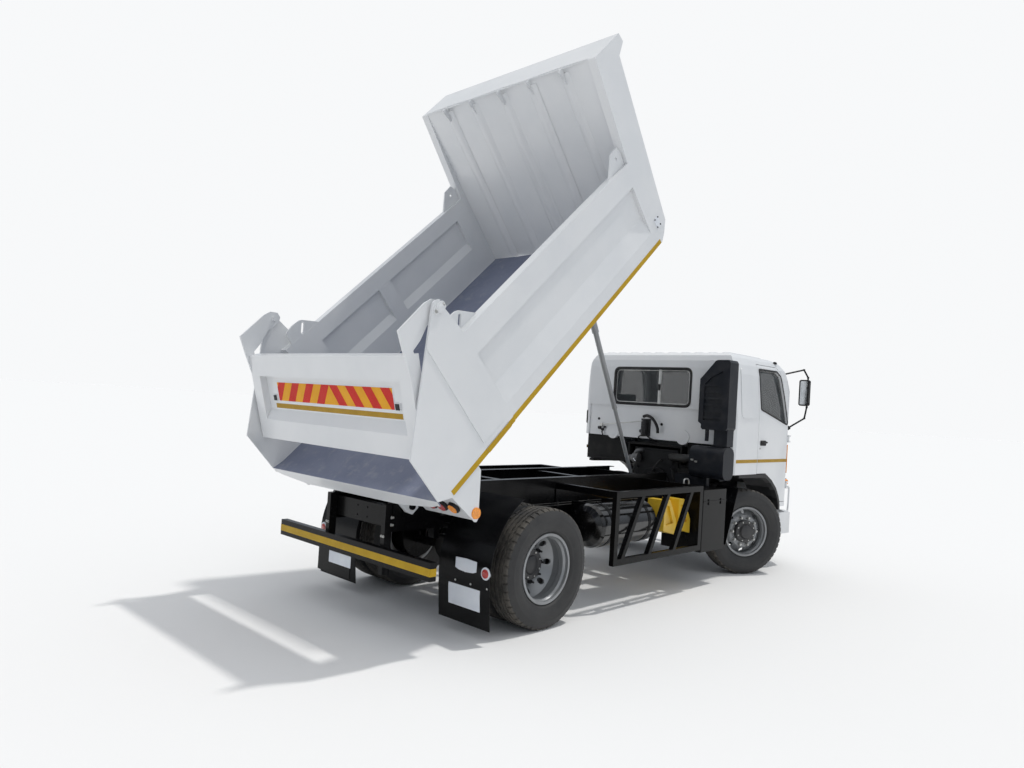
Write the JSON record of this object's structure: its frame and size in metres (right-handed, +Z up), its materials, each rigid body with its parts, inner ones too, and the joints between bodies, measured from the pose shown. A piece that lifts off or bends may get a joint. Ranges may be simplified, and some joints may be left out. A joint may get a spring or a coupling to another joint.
{
  "type": "dump truck",
  "caption": "Rear-tipping dump truck on two axles, bin raised by a telescopic hoist, rear gate hanging, tilting cab with swinging doors, steered front wheels and twin rear wheels.",
  "frame": {"origin": "on the ground under the truck's middle", "axes": "+X forward, +Y to the truck's left, +Z up"},
  "size_m": [6.8089, 2.6298, 5.3054],
  "materials": {
    "white": "semi-gloss white paint, dusty",
    "floor_grey": "worn blue-grey paint",
    "black": "gloss black chassis paint",
    "hoist_grey": "grey painted steel",
    "engine_iron": "cast iron and paint",
    "yellow": "yellow paint",
    "air_black": "matt blue-black plastic",
    "amber_lens": "amber lens",
    "red_lens": "red lens",
    "lamp_glass": "clear lamp glass",
    "tinted_glass": "tinted cab glass",
    "trim_grey": "dark grey trim",
    "seat_cloth": "dark grey cloth",
    "rim_silver": "silver wheel paint",
    "tyre_black": "road rubber, dusty tread"
  },
  "bodies": {
    "chassis": {"chassis_frame": "black", "subframe": "black", "front_axle": "black", "rear_axle": "black", "leaf_springs": "black", "driveline": "black", "engine_block": "engine_iron", "fuel_tank": "black", "air_tanks": "black", "battery_box": "black", "silencer": "black", "wheel_chocks": "yellow", "side_guards": "black", "mudguards": "black", "rear_bumper": "black", "front_bumper": "white", "air_cleaner": "air_black"},
    "bed": {"bed_floor": "floor_grey", "bed_sides": "white", "headboard": "white", "bed_underframe": "black", "lamps_amber": "amber_lens", "lamps_red": "red_lens"},
    "gate": {"tailgate": "white"},
    "hoist_barrel": {"hoist_barrel": "hoist_grey"},
    "hoist_stage_1": {"hoist_stage_1": "hoist_grey"},
    "hoist_stage_2": {"hoist_stage_2": "hoist_grey"},
    "hoist_rod": {"hoist_rod": "hoist_grey"},
    "knuckle_right": {"knuckle_right": "black"},
    "knuckle_left": {"knuckle_left": "black"},
    "wheel_front_right": {"rim_front_right": "rim_silver", "tyre_front_right": "tyre_black"},
    "wheel_front_left": {"rim_front_left": "rim_silver", "tyre_front_left": "tyre_black"},
    "wheels_rear_right": {"rims_rear_right": "rim_silver", "tyres_rear_right": "tyre_black"},
    "wheels_rear_left": {"rims_rear_left": "rim_silver", "tyres_rear_left": "tyre_black"},
    "cab": {"cab_roof": "white", "cab_rear": "white", "cab_front": "white", "cab_glass": "tinted_glass", "cab_floor": "trim_grey", "seats": "seat_cloth", "dashboard": "trim_grey", "steering_wheel": "trim_grey", "grille": "trim_grey", "headlamps": "lamp_glass", "corner_lamps": "amber_lens", "mirrors": "black", "intake_snorkel": "air_black"},
    "door_right": {"door_right": "white", "door_glass_right": "tinted_glass"},
    "door_left": {"door_left": "white", "door_glass_left": "tinted_glass"}
  },
  "joints": [
    {"name": "bed_tip", "type": "hinge", "parent": "chassis", "child": "bed", "pos_m": [-2.625, 0, 1], "axis": [0, 1, 0], "range_deg": [-4, 43]},
    {"name": "gate_swing", "type": "hinge", "parent": "bed", "child": "gate", "pos_m": [-3.08494, 0, 2.53868], "axis": [0, 1, 0], "range_deg": [-43, 35]},
    {"name": "hoist_lean", "type": "hinge", "parent": "bed", "child": "hoist_barrel", "pos_m": [-0.71491, 0, 4.6599], "axis": [0, 1, 0], "range_deg": [-13, 2]},
    {"name": "hoist_slide_1", "type": "slide", "parent": "hoist_barrel", "child": "hoist_stage_1", "axis": [0.4677, 0, -0.8839], "range_m": [-0.925, 0.09]},
    {"name": "hoist_slide_2", "type": "slide", "parent": "hoist_stage_1", "child": "hoist_stage_2", "axis": [0.4677, 0, -0.8839], "range_m": [-0.925, 0.09]},
    {"name": "hoist_slide_3", "type": "slide", "parent": "hoist_stage_2", "child": "hoist_rod", "axis": [0.4677, 0, -0.8839], "range_m": [-0.925, 0.09]},
    {"name": "steer_right", "type": "hinge", "parent": "chassis", "child": "knuckle_right", "pos_m": [2.225, -0.82, 0.512], "axis": [0, 0, 1], "range_deg": [-12, 67]},
    {"name": "steer_left", "type": "hinge", "parent": "chassis", "child": "knuckle_left", "pos_m": [2.225, 0.82, 0.512], "axis": [0, 0, 1], "range_deg": [-12, 67]},
    {"name": "wheel_front_right_spin", "type": "hinge", "parent": "knuckle_right", "child": "wheel_front_right", "pos_m": [2.13872, -0.98365, 0.512], "axis": [0.4664, 0.8846, 0], "continuous": true},
    {"name": "wheel_front_left_spin", "type": "hinge", "parent": "knuckle_left", "child": "wheel_front_left", "pos_m": [2.31128, 0.98365, 0.512], "axis": [0.4664, 0.8846, 0], "continuous": true},
    {"name": "wheels_rear_right_spin", "type": "hinge", "parent": "chassis", "child": "wheels_rear_right", "pos_m": [-1.675, -1.054, 0.512], "axis": [0, 1, 0], "continuous": true},
    {"name": "wheels_rear_left_spin", "type": "hinge", "parent": "chassis", "child": "wheels_rear_left", "pos_m": [-1.675, 1.054, 0.512], "axis": [0, 1, 0], "continuous": true},
    {"name": "cab_tilt", "type": "hinge", "parent": "chassis", "child": "cab", "pos_m": [3.205, 0, 0.84], "axis": [0, 1, 0], "range_deg": [0, 45]},
    {"name": "door_right_swing", "type": "hinge", "parent": "cab", "child": "door_right", "pos_m": [3.073, -1.108, 1.7], "axis": [0, 0, 1], "range_deg": [0, 65]},
    {"name": "door_left_swing", "type": "hinge", "parent": "cab", "child": "door_left", "pos_m": [3.073, 1.108, 1.7], "axis": [0, 0, -1], "range_deg": [0, 65]}
  ],
  "couplings": [
    {"joint": "hoist_lean", "follows": "bed_tip", "ratio": -0.27819},
    {"joint": "hoist_slide_1", "follows": "bed_tip", "m_per_rad": -1.225},
    {"joint": "hoist_slide_2", "follows": "bed_tip", "m_per_rad": -1.225},
    {"joint": "hoist_slide_3", "follows": "bed_tip", "m_per_rad": -1.225},
    {"joint": "steer_left", "follows": "steer_right", "ratio": 1}
  ]
}
